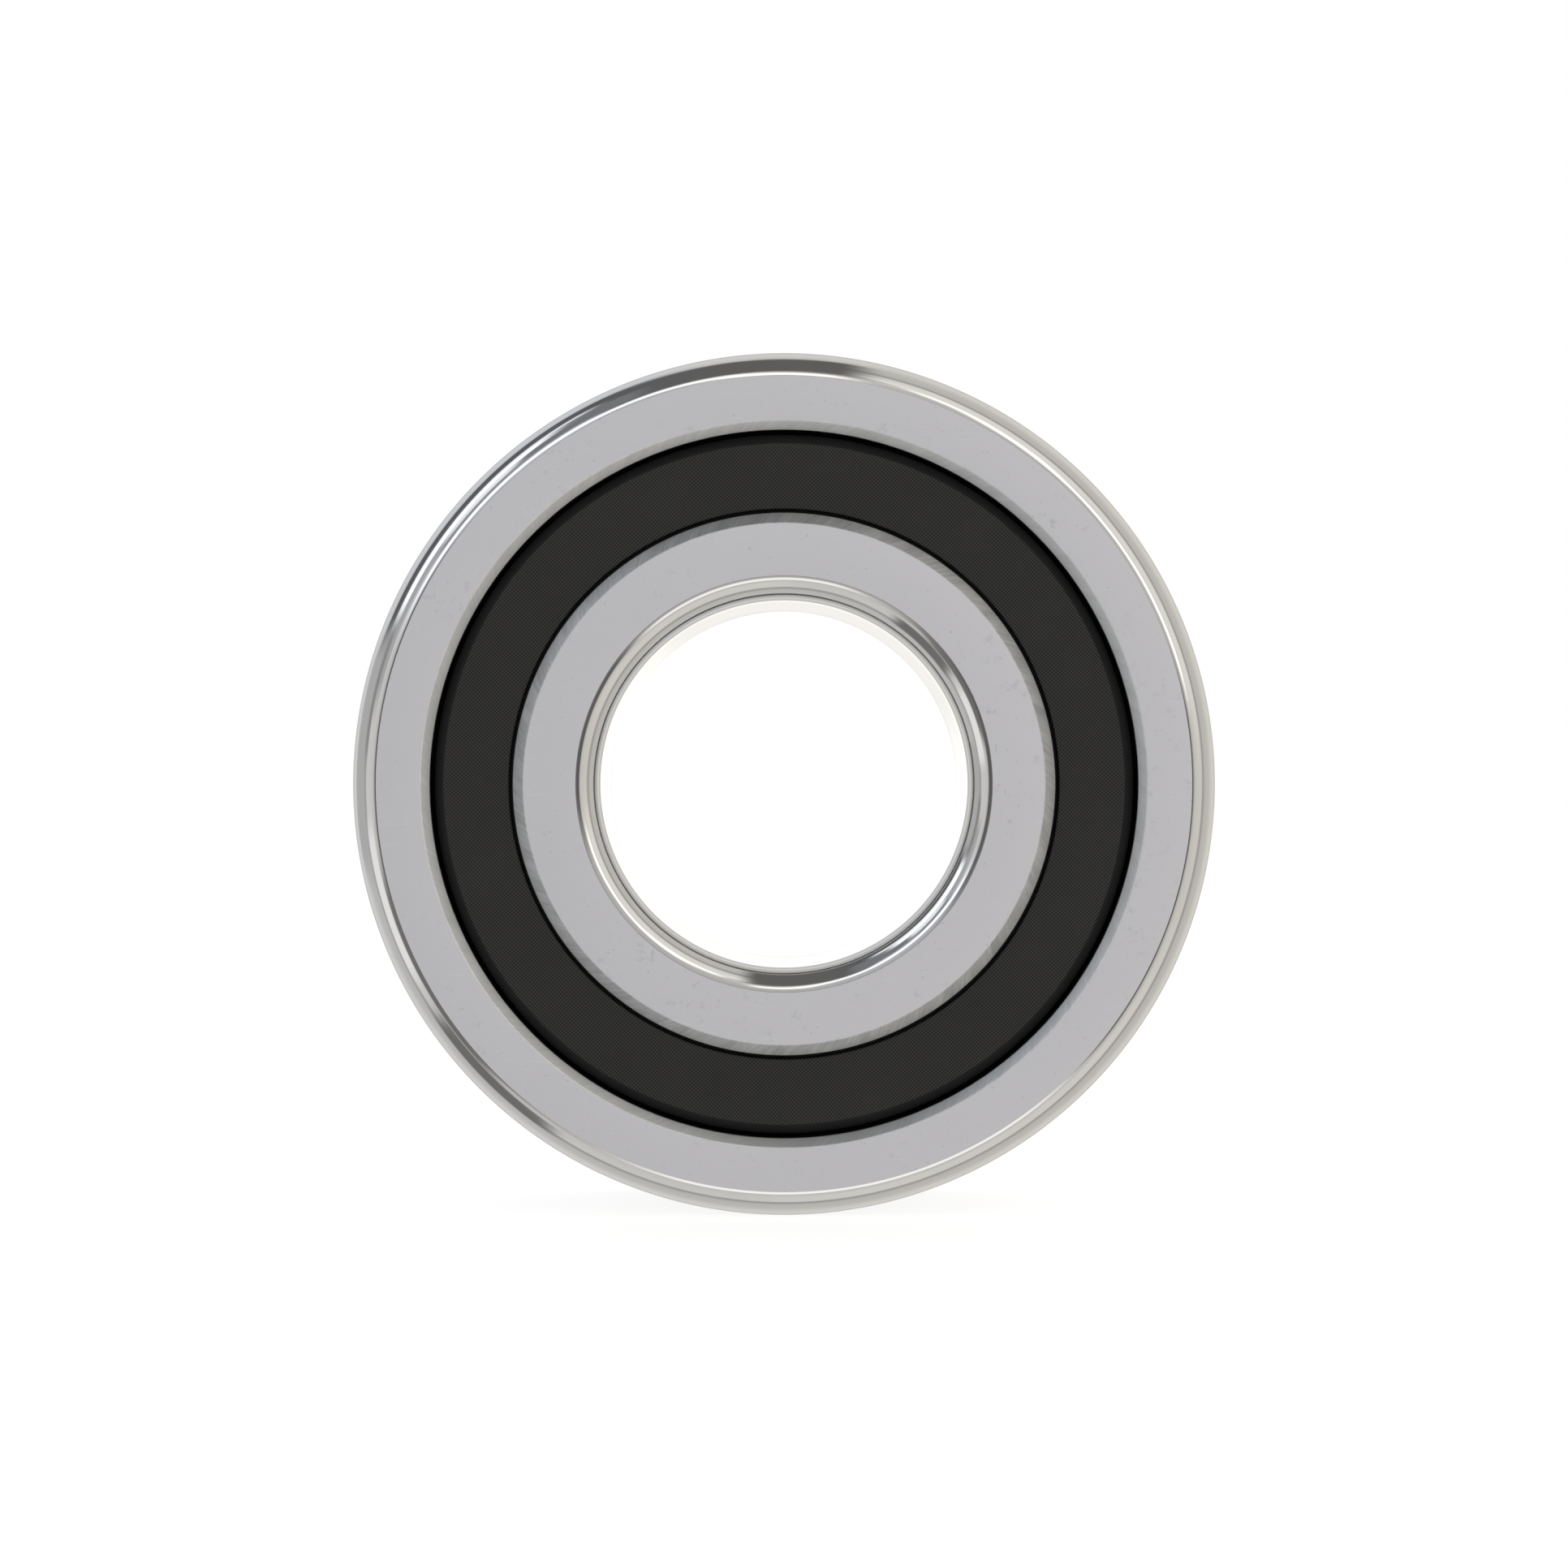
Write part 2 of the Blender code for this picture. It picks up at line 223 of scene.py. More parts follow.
def closed_mesh(name, bm, finishes):
    """The finished mesh: its materials, its faces turned outwards, its round surfaces shaded smooth."""
    bmesh.ops.recalc_face_normals(bm, faces=bm.faces[:])
    mesh = bpy.data.meshes.new(name)
    bm.to_mesh(mesh)
    bm.free()
    for finish in finishes:
        mesh.materials.append(MATERIALS[finish])
    mesh.shade_smooth()
    mesh.set_sharp_from_angle(angle=SHARP_ANGLE)
    return mesh


def spun(name, section, segments=RING_SEGMENTS, closed=True):
    """A section spun round the Y axis. An open section starts and ends on the axis."""
    kinds = list(dict.fromkeys(section.finishes))
    angles = [math.tau * i / segments for i in range(segments)]
    bm = bmesh.new()
    rows = []
    for radius, across in section.points:
        if radius < ON_AXIS:
            rows.append([bm.verts.new((0, across, 0))] * segments)
            continue
        circle = [(radius * math.sin(t), across, radius * math.cos(t)) for t in angles]
        rows.append([bm.verts.new(place) for place in circle])
    following = rows[1:] + rows[:1] if closed else rows[1:]
    for row, next_row, finish in zip(rows, following, section.finishes):
        for i in range(segments):
            j = (i + 1) % segments
            corners = dict.fromkeys((row[i], row[j], next_row[j], next_row[i]))
            bm.faces.new(corners).material_index = kinds.index(finish)
    return closed_mesh(name, bm, kinds)


# --------------------------------------------------------------------------------------------------
# Rings, seals, balls, cage and rivets


def outer_ring_section():
    centre = Vector((PITCH_RADIUS + BALL_RADIUS + RACEWAY_CLEARANCE - OUTER_GROOVE, 0))
    edge = math.acos((OUTER_LAND - centre.x) / OUTER_GROOVE)
    raceway = arc(centre, OUTER_GROOVE, 0, edge, RACEWAY_STEPS)
    bevel_end = SEAT_MOUTH + OUTER_FACE_BEVEL
    return both_sides(
        [Corner(*point, "raceway", 0) for point in raceway[:-1]]
        + [
            Corner(*raceway[-1], "turned_land"),
            # the seal groove and the seat wall get near-black steel: painted shade in the gap round the seal
            Corner(OUTER_LAND, SEAL_GROOVE_INNER, "groove_painted_shade"),
            Corner(SEAL_GROOVE_RADIUS, SEAL_GROOVE_INNER, "groove_painted_shade"),
            Corner(SEAL_GROOVE_RADIUS, SEAL_GROOVE_OUTER, "groove_painted_shade"),
            Corner(SEAT_MOUTH, SEAL_GROOVE_OUTER, "groove_painted_shade"),
            Corner(SEAT_MOUTH, HALF_WIDTH - FACE_BEVEL_ACROSS, "outer_bevel", SEAT_ROUND),
            Corner(bevel_end, HALF_WIDTH, "ground_face", OUTER_FACE_ROUND, "outer_bevel"),
            Corner(OUTSIDE, HALF_WIDTH, "ground_round", OUTSIDE_CORNER_RADIUS, "polished_corner"),
            Corner(OUTSIDE, 0, "ground_round"),
        ]
    )


def inner_ring_section():
    centre = Vector((PITCH_RADIUS - BALL_RADIUS - RACEWAY_CLEARANCE + INNER_GROOVE, 0))
    edge = math.acos((centre.x - INNER_LAND) / INNER_GROOVE)
    raceway = arc(centre, INNER_GROOVE, math.pi, math.pi - edge, RACEWAY_STEPS)
    half_groove = SEAL_LIP_ROOT / 2 + LIP_GROOVE_SIDE_GAP
    floor = INNER_LAND - LIP_GROOVE_DEPTH
    bevel_end = INNER_LAND - INNER_FACE_BEVEL
    return both_sides(
        [Corner(*point, "raceway", 0) for point in raceway[:-1]]
        + [
            Corner(*raceway[-1], "turned_land"),
            # the lip's groove gets near-black steel: painted shade
            Corner(INNER_LAND, LIP_ACROSS - half_groove, "groove_painted_shade"),
            Corner(floor, LIP_ACROSS - half_groove + LIP_GROOVE_TAPER, "groove_painted_shade"),
            Corner(floor, LIP_ACROSS + half_groove - LIP_GROOVE_TAPER, "groove_painted_shade"),
            Corner(INNER_LAND, LIP_ACROSS + half_groove, "groove_painted_shade"),
            Corner(INNER_LAND, HALF_WIDTH - FACE_BEVEL_ACROSS, "inner_bevel", SEAT_ROUND),
            Corner(bevel_end, HALF_WIDTH, "ground_face", INNER_FACE_ROUND, "inner_bevel"),
            Corner(BORE, HALF_WIDTH, "honed_bore", BORE_CORNER_RADIUS, "polished_corner"),
            Corner(BORE, 0, "honed_bore"),
        ]
    )


def seal_rubber_section():
    """Face, rim cone and bead outside, the washer's recess behind, and the heel with its lip inside."""
    washer_rim = INSERT_RIM + BOND_GAP
    heel = INSERT_BORE - BOND_GAP
    bead_front = SEAL_GROOVE_OUTER - SEAL_FIT_GAP
    neck = bead_front - NECK_DEPTH
    lip_edge = 0.00005
    return softened(
        [
            Corner(SEAL_BORE_RADIUS, RUBBER_FACE, "rubber_face", MOULDED_ROUND),
            # the rim cone, the bead and the back are a darker copy of the face rubber: painted shade for the
            # dark band round the seal
            Corner(SEAL_RIM_RADIUS - SEAL_RIM_CONE, RUBBER_FACE, "rubber_edge_painted_shade"),
            # from the rim down the neck: near-black rubber, painted shade in the gap round the seal
            Corner(SEAL_RIM_RADIUS, RUBBER_FACE - SEAL_RIM_CONE, "rubber_root_painted_shade", SMALL_ROUND, "rubber_edge_painted_shade"),
            Corner(SEAL_RIM_RADIUS, neck, "rubber_root_painted_shade", MOULDED_ROUND),
            Corner(SEAL_RIM_RADIUS + NECK_WIDTH, bead_front, "rubber_edge_painted_shade", MOULDED_ROUND),
            Corner(BEAD_RADIUS, bead_front, "rubber_edge_painted_shade", 0.00018),
            Corner(BEAD_RADIUS, BEAD_BACK, "rubber_edge_painted_shade", 0.00025),
            Corner(washer_rim, BEAD_BACK, "rubber_edge_painted_shade"),
            Corner(washer_rim, RUBBER_BACK, "rubber_edge_painted_shade"),
            Corner(heel, RUBBER_BACK, "rubber_edge_painted_shade"),
            Corner(heel, INSERT_BACK, "rubber_edge_painted_shade"),
            Corner(SEAL_BORE_RADIUS, LIP_ACROSS - SEAL_LIP_ROOT / 2, "rubber_edge_painted_shade"),
            Corner(LIP_RADIUS, LIP_ACROSS - SEAL_LIP_TIP / 2, "rubber_edge_painted_shade", lip_edge),
            Corner(LIP_RADIUS, LIP_ACROSS + SEAL_LIP_TIP / 2, "rubber_edge_painted_shade", lip_edge),
            Corner(SEAL_BORE_RADIUS, LIP_ACROSS + SEAL_LIP_ROOT / 2, "rubber_edge_painted_shade"),
        ]
    )


def seal_insert_section():
    """A flat washer of sheet, whose rim is pressed into a short flange towards the balls."""
    cut_edge = 0.00004
    return softened(
        [
            Corner(INSERT_BORE, INSERT_FRONT, "pressed_sheet", cut_edge),
            Corner(INSERT_RIM, INSERT_FRONT, "pressed_sheet", 0.00040),
            Corner(INSERT_RIM, FLANGE_BACK, "pressed_sheet", cut_edge),
            Corner(INSERT_RIM - INSERT_SHEET, FLANGE_BACK, "pressed_sheet", cut_edge),
            Corner(INSERT_RIM - INSERT_SHEET, INSERT_BACK, "pressed_sheet", 0.00012),
            Corner(INSERT_BORE, INSERT_BACK, "pressed_sheet", cut_edge),
        ]
    )


def ball_mesh():
    bm = bmesh.new()
    bmesh.ops.create_icosphere(bm, subdivisions=BALL_SUBDIVISIONS, radius=BALL_RADIUS)
    return closed_mesh("ball", bm, ["lapped_ball"])


def pocket_station(radius, sphere, web, turn):
    """A point of the ribbon at one radius: where a sphere round the ball meets that radius.

    Turn runs from -1 to 1 between the two places where the sphere comes down to the web.
    Returns (angle from the ball, across).
    """
    height = math.sqrt(sphere**2 - (radius - PITCH_RADIUS) ** 2)
    swing = turn * math.acos(web / height)
    half_chord = height * math.sin(swing) / (2 * math.sqrt(radius * PITCH_RADIUS))
    return 2 * math.asin(half_chord), height * math.cos(swing)


def ribbon_section():
    """The sheet's section: (offset from the pitch circle, depth into the sheet), with rounded edges."""
    edge = 0.00012
    strips = round(2 * RIBBON_HALF_WIDTH / RIBBON_STRIP)
    along = [-1 + 2 * i / strips for i in range(1, strips)]
    back = [Corner(share * RIBBON_HALF_WIDTH, 0, "pressed_sheet", 0) for share in along]
    front = [Corner(-share * RIBBON_HALF_WIDTH, CAGE_SHEET, "pressed_sheet", 0) for share in along]
    ends = [
        Corner(side * RIBBON_HALF_WIDTH, place, "pressed_sheet", edge)
        for side, place in ((1, 0), (1, CAGE_SHEET), (-1, CAGE_SHEET), (-1, 0))
    ]
    return softened(back + ends[:2] + front + ends[2:])


def cage_half_mesh(name, side):
    """A pressed ribbon: a spherical pocket over each ball, and a flat web between each two."""
    bm = bmesh.new()
    inside = POCKET_TOP - CAGE_SHEET
    turns = [-1 + 2 * i / POCKET_STEPS for i in range(POCKET_STEPS + 1)]
    rows = []
    for offset, into in ribbon_section().points:
        radius = PITCH_RADIUS + offset
        row = []
        for ball in range(BALL_COUNT):
            for turn in turns:
                angle, across = pocket_station(radius, inside + into, WEB_BACK + into, turn)
                angle += ball * BALL_PITCH_ANGLE
                place = (radius * math.sin(angle), side * across, radius * math.cos(angle))
                row.append(bm.verts.new(place))
        rows.append(row)
    for row, following in zip(rows, rows[1:] + rows[:1]):
        for i in range(len(row)):
            j = (i + 1) % len(row)
            bm.faces.new((row[i], row[j], following[j], following[i]))
    return closed_mesh(name, bm, ["pressed_sheet"])


def rivet_mesh():
    """A shank through both webs, with a domed head on each side of them."""
    shank = RIVET_HEAD_RADIUS / RIVET_HEAD_TO_SHANK
    seat = WEB_BACK + CAGE_SHEET + RIVET_FIT_GAP
    rim = seat + (RIVET_TOP - seat) / 3
    rise = RIVET_TOP - rim
    dome = (RIVET_HEAD_RADIUS**2 + rise**2) / (2 * rise)
    centre = Vector((0, RIVET_TOP - dome))
    edge = math.asin((rim - centre.y) / dome)
    crown = arc(centre, dome, math.pi / 2, edge, DOME_STEPS)
    half = softened(
        [Corner(*point, "headed_rivet", 0) for point in crown[:-1]]
        + [
            Corner(RIVET_HEAD_RADIUS, rim, "headed_rivet", 0.00012),
            Corner(RIVET_HEAD_RADIUS, seat, "headed_rivet", 0.00005),
            Corner(shank, seat, "headed_rivet", 0.00005),
            Corner(shank, 0, "headed_rivet"),
        ],
        closed=False,
    )
    mirrored = [Vector((point.x, -point.y)) for point in reversed(half.points[:-1])]
    points = half.points + mirrored
    return spun("rivet", Section(points, ["headed_rivet"] * len(points)), RIVET_SEGMENTS, closed=False)


def around_pitch_circle(index, offset=0.0):
    """The place of one ball, or of one rivet with half a pitch of offset, counted from the top."""
    angle = (index + offset) * BALL_PITCH_ANGLE
    return Vector((PITCH_RADIUS * math.sin(angle), 0, PITCH_RADIUS * math.cos(angle)))


def punch_rivet_holes(piece):
    """Cuts the eight holes of the webs, for shanks with a small gap round them."""
    bm = bmesh.new()
    hole = RIVET_HEAD_RADIUS / RIVET_HEAD_TO_SHANK + RIVET_FIT_GAP
    upright = Matrix.Rotation(math.pi / 2, 4, "X")
    for index in range(BALL_COUNT):
        bmesh.ops.create_cone(
            bm,
            cap_ends=True,
            segments=RIVET_SEGMENTS,
            radius1=hole,
            radius2=hole,
            depth=4 * CAGE_SHEET,
            matrix=Matrix.Translation(around_pitch_circle(index, 0.5)) @ upright,
        )
    cutter = bpy.data.objects.new("punch", closed_mesh("punch", bm, ["pressed_sheet"]))
    bpy.context.scene.collection.objects.link(cutter)
    holes = piece.modifiers.new("rivet_holes", "BOOLEAN")
    holes.operation = "DIFFERENCE"
    holes.solver = "EXACT"
    holes.object = cutter
    bpy.context.view_layer.update()
    cut = bpy.data.meshes.new_from_object(piece.evaluated_get(bpy.context.evaluated_depsgraph_get()))
    piece.modifiers.clear()
    piece.data = cut
    bpy.data.objects.remove(cutter)


def stand_in(node, mesh, place=(0, 0, 0)):
    """Adds the fine piece for a CAD node, on that node's body, and hides the node."""
    record = frame["record"]
    body = next(name for name, nodes in record["behaviour"]["bodies"].items() if node in nodes)
    piece = bpy.data.objects.new(f"{node}_fine", mesh)
    piece.location = place
    bpy.context.scene.collection.objects.link(piece)
    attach(piece, body)
    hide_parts(node)
    return piece


# --------------------------------------------------------------------------------------------------
# Shader nodes


def put(tree, kind, inputs, **settings):
    """Adds a node, sets it up, and fills its inputs with values or with other nodes' outputs."""
    made = tree.nodes.new(kind)
    for key, value in settings.items():
        setattr(made, key, value)
    for key, value in inputs.items():
        if isinstance(value, bpy.types.NodeSocket):
            tree.links.new(value, made.inputs[key])
        else:
            made.inputs[key].default_value = value
    return made


def calc(tree, operation, *values):
    return put(tree, "ShaderNodeMath", dict(enumerate(values)), operation=operation).outputs[0]


def between(tree, value, low, high, to_low=0.0, to_high=1.0, smooth=False):
    """Value from low to high turned into to_low to to_high, and held there outside that range."""
    kind = "SMOOTHSTEP" if smooth else "LINEAR"
    sockets = {0: value, 1: low, 2: high, 3: to_low, 4: to_high}
    return put(tree, "ShaderNodeMapRange", sockets, interpolation_type=kind).outputs[0]


def noise(tree, where, scale=1.0, detail=2.0, roughness=0.5):
    sockets = {"Vector": where, "Scale": scale, "Detail": detail, "Roughness": roughness}
    return put(tree, "ShaderNodeTexNoise", sockets).outputs[0]


def stretched(tree, where, *scale):
    """Coordinates multiplied along X, Y and Z: noise of scale 1 then has grains of 1 / scale metres."""
    return put(tree, "ShaderNodeMapping", {"Vector": where, "Scale": scale}).outputs[0]


def object_place(tree):
    return put(tree, "ShaderNodeTexCoord", {}).outputs["Object"]


def split(tree, vector):
    return put(tree, "ShaderNodeSeparateXYZ", {0: vector}).outputs


def joined(tree, *values):
    return put(tree, "ShaderNodeCombineXYZ", dict(enumerate(values))).outputs[0]


def round_place(tree, radius):
    """(distance round the axis at this radius, distance from the axis, across), with its seam below."""
    x, y, z = split(tree, object_place(tree))
    turn = calc(tree, "ARCTAN2", x, z)
    squares = [calc(tree, "MULTIPLY", value, value) for value in (x, z)]
    from_axis = calc(tree, "SQRT", calc(tree, "ADD", *squares))
    return joined(tree, calc(tree, "MULTIPLY", turn, radius), from_axis, y)


def shade(tree, value, dark, light):
    """A colour from dark to light as value goes from 0 to 1."""
    sockets = {"Factor": value, 6: (*dark, 1), 7: (*light, 1)}
    return put(tree, "ShaderNodeMix", sockets, data_type="RGBA").outputs[2]


def relief(tree, height, distance, under=None):
    """A bump of that many metres, on top of another one if there is one."""
    sockets = {"Height": height, "Distance": distance, "Strength": 1.0}
    if under:
        sockets["Normal"] = under
    return put(tree, "ShaderNodeBump", sockets).outputs[0]


def new_material(name, metallic, **fixed):
    """(material, its node tree, its shader). Fixed values go straight on the shader's sockets."""
    made = bpy.data.materials.new(name)
    made.use_nodes = True
    shader = made.node_tree.nodes["Principled BSDF"]
    shader.inputs["Metallic"].default_value = metallic
    for key, value in fixed.items():
        shader.inputs[key.replace("_", " ")].default_value = value
    return made, made.node_tree, shader


def wire(tree, shader, colour, roughness, normal):
    tree.links.new(colour, shader.inputs["Base Color"])
    tree.links.new(roughness, shader.inputs["Roughness"])
    tree.links.new(normal, shader.inputs["Normal"])


def grey(value, tint=1.0):
    """A grey whose blue is tint times its red."""
    return (value, value * (1 + tint) / 2, value * tint)


# --------------------------------------------------------------------------------------------------
# Finishes


def ground_face():
    """Side faces of the rings: satin ground, with faint straight lines, a few fine scratches and marks."""
    made, tree, shader = new_material("ground_face", 1.0)
    place = object_place(tree)
    lines = noise(tree, stretched(tree, place, 160, 160, 18000), detail=2)
    scratches = between(tree, noise(tree, stretched(tree, place, 260, 260, 8500), detail=1), 0.73, 0.79)
    clouds = noise(tree, place, 130, detail=3)
    handled = between(tree, clouds, 0.46, 0.62, smooth=True)
    marks = between(tree, noise(tree, place, 1500, detail=5, roughness=0.65), 0.57, 0.70, smooth=True)
    specks = between(tree, noise(tree, place, 4200, detail=1), 0.73, 0.78)
    worn = calc(tree, "ADD", calc(tree, "MULTIPLY", marks, handled), calc(tree, "MULTIPLY", specks, 0.8))
    tone = calc(tree, "ADD", calc(tree, "MULTIPLY", lines, 0.20), calc(tree, "MULTIPLY", clouds, 0.35))
    tone = calc(tree, "SUBTRACT", calc(tree, "ADD", tone, calc(tree, "MULTIPLY", scratches, 0.5)), worn)
    colour = shade(tree, between(tree, tone, -0.9, 0.9), (0.625, 0.626, 0.664), (0.806, 0.807, 0.856))
    dulling = calc(tree, "ADD", clouds, calc(tree, "MULTIPLY", worn, 0.4))
    roughness = between(tree, dulling, 0.3, 0.9, 0.47, 0.56)
    wire(tree, shader, colour, roughness, relief(tree, lines, 2.5e-7))
    return made


def polished_corner():
    """Corner radii of the rings: polished bright, with barely visible marks that run round."""
    made, tree, shader = new_material("polished_corner", 1.0)
    place = round_place(tree, OUTSIDE)
    marks = noise(tree, stretched(tree, place, 90, 16000, 16000), detail=2)
    cloud = noise(tree, object_place(tree), 420, detail=3)
    colour = shade(tree, cloud, grey(0.70), grey(0.74))
    roughness = between(tree, cloud, 0.3, 0.7, 0.055, 0.085)
    wire(tree, shader, colour, roughness, relief(tree, marks, 1.5e-7))
    return made


def ground_round(name, radius, dark, light, finish):
    """Outside and bore: ground, with fine lines that run round."""
    made, tree, shader = new_material(name, 1.0)
    place = round_place(tree, radius)
    broad = noise(tree, stretched(tree, place, 50, 9000, 9000), detail=2)
    fine = noise(tree, stretched(tree, place, 160, 30000, 30000), detail=2)
    smudges = noise(tree, object_place(tree), 110, detail=4)
    tone = between(tree, calc(tree, "ADD", broad, smudges), 0.7, 1.3)
    colour = shade(tree, tone, grey(dark), grey(light, 1.01))
    roughness = between(tree, smudges, 0.3, 0.7, *finish)
    normal = relief(tree, broad, 5e-7, relief(tree, fine, 2.5e-7))
    wire(tree, shader, colour, roughness, normal)
    return made


def turned_bevel(name, dark, light, stroke_height):
    """Bevels beside the seals: turned, then brushed at a slant when the edges were broken."""
    made, tree, shader = new_material(name, 1.0)
    along, from_axis, _ = split(tree, round_place(tree, INNER_LAND))
    slant = calc(tree, "ADD", along, from_axis)
    across_slant = calc(tree, "SUBTRACT", along, from_axis)
    place = joined(tree, across_slant, slant, 0.0)
    strokes = noise(tree, stretched(tree, place, 5200, 500, 1), detail=3)
    patches = noise(tree, stretched(tree, place, 900, 250, 1), detail=2)
    tone = between(tree, calc(tree, "ADD", strokes, patches), 0.75, 1.25)
    colour = shade(tree, tone, grey(dark, 1.035), grey(light, 1.035))
    roughness = between(tree, strokes, 0.35, 0.65, 0.52, 0.44)
    wire(tree, shader, colour, roughness, relief(tree, strokes, stroke_height))
    return made


def turned_seat(name, dark, light):
    """Lands and grooves beside the raceways, turned with marks that run round; the grooves' near-black is
    painted shade.
    """
    made, tree, shader = new_material(name, 1.0)
    place = round_place(tree, OUTER_LAND)
    marks = noise(tree, stretched(tree, place, 40, 12000, 12000), detail=3)
    cloud = noise(tree, object_place(tree), 260, detail=3)
    colour = shade(tree, cloud, grey(dark), grey(light))
    roughness = between(tree, cloud, 0.3, 0.7, 0.30, 0.40)
    wire(tree, shader, colour, roughness, relief(tree, marks, 1.5e-6))
    return made


def raceway():
    """Ball grooves: honed nearly to a mirror, with a faint grain that runs round."""
    made, tree, shader = new_material("raceway", 1.0)
    grain = noise(tree, stretched(tree, round_place(tree, PITCH_RADIUS), 70, 24000, 24000), detail=2)
    cloud = noise(tree, object_place(tree), 200, detail=2)
    colour = shade(tree, cloud, grey(0.68), grey(0.74))
    roughness = between(tree, grain, 0.3, 0.7, 0.07, 0.13)
    wire(tree, shader, colour, roughness, relief(tree, grain, 2e-7))
    return made


def lapped_ball():
    """Balls: chrome steel lapped to a mirror, with a very faint random haze."""
    made, tree, shader = new_material("lapped_ball", 1.0)
    haze = noise(tree, object_place(tree), 700, detail=4)
    pits = noise(tree, object_place(tree), 30000, detail=1)
    colour = shade(tree, haze, grey(0.71), grey(0.75, 1.01))
    roughness = between(tree, haze, 0.3, 0.7, 0.035, 0.065)
    wire(tree, shader, colour, roughness, relief(tree, pits, 4e-8))
    return made


def pressed_sheet():
    """Cage halves and seal washers: cold-rolled sheet, satin, with a rolled grain and drawn smears."""
    made, tree, shader = new_material("pressed_sheet", 1.0)
    place = object_place(tree)
    rolled = noise(tree, stretched(tree, place, 400, 7000, 7000), detail=3)
    skin = noise(tree, place, 9000, detail=3, roughness=0.6)
    smears = noise(tree, stretched(tree, round_place(tree, PITCH_RADIUS), 220, 900, 900), detail=3)
    tone = between(tree, calc(tree, "ADD", rolled, smears), 0.7, 1.3)
    colour = shade(tree, tone, (0.47, 0.46, 0.445), (0.58, 0.57, 0.55))
    roughness = between(tree, smears, 0.3, 0.7, 0.30, 0.44)
    normal = relief(tree, skin, 1.5e-6, relief(tree, rolled, 1e-6))
    wire(tree, shader, colour, roughness, normal)
    return made


def headed_rivet():
    """Rivets: cold headed, with a fine skin and patches of wear."""
    made, tree, shader = new_material("headed_rivet", 1.0)
    place = object_place(tree)
    skin = noise(tree, place, 7000, detail=3)
    wear = noise(tree, place, 1600, detail=3)
    colour = shade(tree, wear, (0.52, 0.51, 0.495), (0.66, 0.65, 0.63))
    roughness = between(tree, wear, 0.3, 0.7, 0.28, 0.42)
    wire(tree, shader, colour, roughness, relief(tree, skin, 2e-6))
    return made


def moulded_rubber(name, dark, light, knurl_height, specular):
    """Nitrile rubber as it leaves the mould, with the mould's own fine diagonal hatching."""
    made, tree, shader = new_material(name, 0.0, Specular_IOR_Level=specular)
    place = object_place(tree)
    x, _, z = split(tree, place)
    phases = [calc(tree, "MULTIPLY", value, math.tau / KNURL_PITCH) for value in (x, z)]
    waves = [calc(tree, "SINE", phase) for phase in phases]
    knurl = between(tree, calc(tree, "MULTIPLY", *waves), -1, 1)
    bloom = noise(tree, place, 240, detail=4, roughness=0.6)
    grain = noise(tree, place, 8000, detail=2)
    tone = calc(tree, "ADD", calc(tree, "MULTIPLY", knurl, 0.6), calc(tree, "MULTIPLY", bloom, 0.2))
    colour = shade(tree, between(tree, tone, 0.2, 0.6), dark, light)
    roughness = between(tree, calc(tree, "ADD", bloom, grain), 0.7, 1.3, 0.58, 0.70)
    normal = relief(tree, knurl, knurl_height, relief(tree, grain, 1.5e-6))
    wire(tree, shader, colour, roughness, normal)
    return made


MATERIALS = {
    "ground_face": ground_face(),
    "polished_corner": polished_corner(),
    "ground_round": ground_round("ground_round", OUTSIDE, 0.55, 0.63, (0.17, 0.25)),
    "honed_bore": ground_round("honed_bore", BORE, 0.76, 0.81, (0.05, 0.09)),
    "outer_bevel": turned_bevel("outer_bevel", 0.69, 0.77, 1e-6),
    "inner_bevel": turned_bevel("inner_bevel", 0.48, 0.64, 1.6e-6),
    "turned_land": turned_seat("turned_land", 0.40, 0.50),
    # near-black steel for the grooves beside the seals and the lip: painted shade
    "groove_painted_shade": turned_seat("groove_painted_shade", 0.10, 0.16),
    "raceway": raceway(),
    "lapped_ball": lapped_ball(),
    "pressed_sheet": pressed_sheet(),
    "headed_rivet": headed_rivet(),
    "rubber_face": moulded_rubber(
        "rubber_face", (0.0040, 0.0040, 0.0032), (0.0355, 0.0355, 0.0336), 9e-6, 0.30
    ),
    # a darker copy of the face rubber for the rim, the bead and the back: painted shade
    "rubber_edge_painted_shade": moulded_rubber(
        "rubber_edge_painted_shade", (0.0085, 0.0085, 0.0088), (0.0180, 0.0180, 0.0183), 2e-6, 0.22
    ),
    # near-black rubber with little sheen for the walls of the seal's neck: painted shade
    "rubber_root_painted_shade": moulded_rubber("rubber_root_painted_shade", grey(0.001), grey(0.003), 1e-6, 0.05),
}


# --------------------------------------------------------------------------------------------------
# Studio: the light that surrounds the bearing, the floor and the camera


class Panel(NamedTuple):
    """A lit panel or a dark flag, in degrees.

    Polar is its angle from -Y, turn its angle round the axis from +X towards +Z, each with its half width.
    Tone is its brightness.
    """

    polar: float
    polar_half: float
    turn: float
    turn_half: float
    tone: float
    soft: float = 0.5  # the share of each half width over which its edge fades


